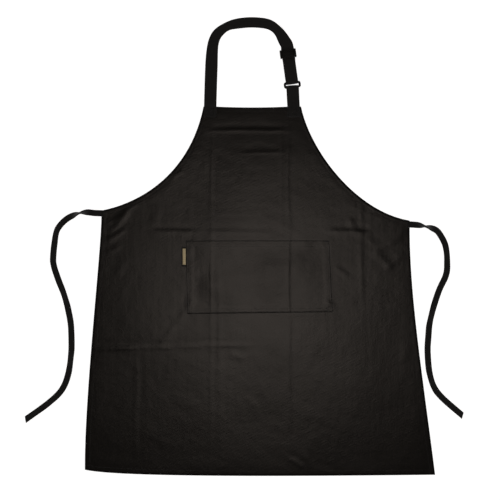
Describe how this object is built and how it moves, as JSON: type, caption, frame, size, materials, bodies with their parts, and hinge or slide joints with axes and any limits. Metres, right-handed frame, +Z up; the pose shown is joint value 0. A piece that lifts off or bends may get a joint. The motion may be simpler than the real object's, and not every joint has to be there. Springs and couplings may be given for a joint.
{
  "type": "bib apron",
  "caption": "Black cloth bib apron laid flat, with a patch pocket, an adjustable neck strap on a slider and ring, and loose waist ties.",
  "frame": {"origin": "on the table, under the middle of the box of the apron without its waist ties", "axes": "+X to the apron's right as seen from above, +Y from the hem to the neck loop, +Z up off the table, out of the apron's front"},
  "size_m": [0.8815, 0.9187, 0.0098],
  "materials": {
    "cloth": "matte",
    "webbing": "matte",
    "label": "matte",
    "thread": "matte",
    "moulding": "satin"
  },
  "bodies": {
    "apron": {"body_panel": "cloth", "pocket_panel": "cloth", "neck_strap_sewn_end": "webbing", "buckle_strap_sewn_end": "webbing", "left_waist_tie": "webbing", "right_waist_tie": "webbing", "bib_hem_thread": "thread", "left_armhole_thread": "thread", "right_armhole_thread": "thread", "left_side_thread": "thread", "right_side_thread": "thread", "bottom_hem_thread": "thread", "pocket_hem_thread": "thread", "pocket_seam_thread": "thread", "pocket_inner_seam_thread": "thread", "pocket_bartack_left": "thread", "pocket_bartack_right": "thread", "neck_strap_box_stitch": "thread", "buckle_strap_box_stitch": "thread", "left_tie_bartack": "thread", "right_tie_bartack": "thread"},
    "label": {"side_label": "label"},
    "neck_loop": {"neck_strap": "webbing", "neck_strap_return": "webbing", "buckle_strap": "webbing"},
    "slider": {"strap_slider": "moulding", "slider_strap_loop": "webbing", "slider_loop_thread": "thread"},
    "ring": {"strap_ring": "moulding"}
  },
  "joints": [
    {"name": "neck_loop_fold", "type": "hinge", "parent": "apron", "child": "neck_loop", "pos_m": [-0.016, 0.28, 0.0042], "axis": [1, 0, 0], "range_deg": [0, 160]},
    {"name": "slider_slide", "type": "slide", "parent": "neck_loop", "child": "slider", "axis": [0.1392, -0.9903, 0], "range_m": [0, 0.03], "deforming": ["neck_strap_return"]},
    {"name": "ring_tilt", "type": "hinge", "parent": "neck_loop", "child": "ring", "pos_m": [0.06506, 0.3179, 0.0029], "axis": [0.9925, 0.1219, 0], "range_deg": [0, 3.5]},
    {"name": "label_flip", "type": "hinge", "parent": "apron", "child": "label", "pos_m": [-0.147, -0.02, 0.0036], "axis": [0, 1, 0], "range_deg": [0, 165]}
  ]
}
